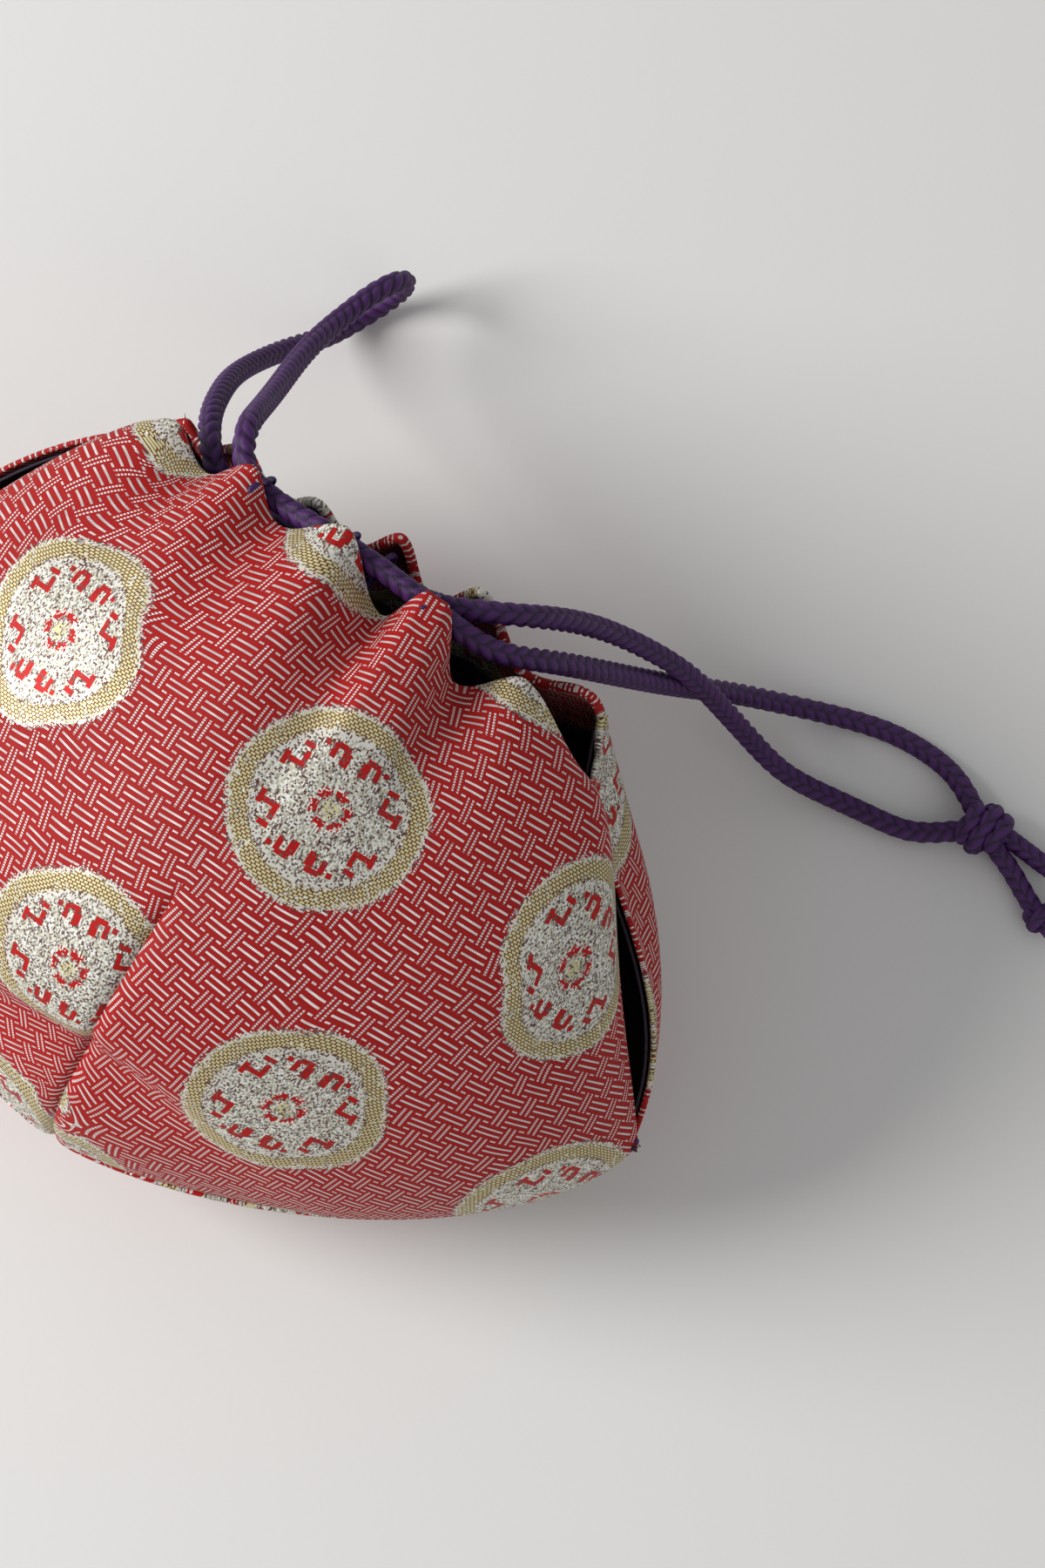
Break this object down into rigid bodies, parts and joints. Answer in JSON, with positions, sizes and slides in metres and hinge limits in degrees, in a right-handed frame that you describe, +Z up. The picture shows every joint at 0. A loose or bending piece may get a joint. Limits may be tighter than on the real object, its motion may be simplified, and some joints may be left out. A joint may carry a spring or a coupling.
{
  "type": "drawstring pouch",
  "caption": "Lined brocade drawstring pouch with a darted round base, side slits and a purple braided cord drawn through its gathered lips, lying on its back.",
  "frame": {"origin": "bottom centre of the pouch itself, without its free cord, on the surface that it lies on", "axes": "+X across the pouch towards the side of the cord's knot, +Y from the base to the mouth, +Z up and out of the front panel"},
  "size_m": [0.1954, 0.1494, 0.0825],
  "materials": {
    "brocade": "woven brocade with a metallic thread sheen",
    "lining": "matt plain weave",
    "cord": "matt braided silk",
    "thread": "twisted silk thread"
  },
  "bodies": {
    "root": {"front_panel": "brocade", "back_panel": "brocade", "front_lining": "lining", "back_lining": "lining", "right_slit_tack": "thread", "left_slit_tack": "thread", "front_loop_1": "thread", "front_loop_2": "thread", "front_loop_3": "thread", "back_loop_1": "thread", "back_loop_2": "thread", "back_loop_3": "thread", "drawstring": "cord", "drawstring_knot": "cord", "drawstring_tail_1": "cord", "drawstring_tail_2": "cord", "drawstring_end_1": "cord", "drawstring_end_2": "cord"}
  },
  "joints": []
}
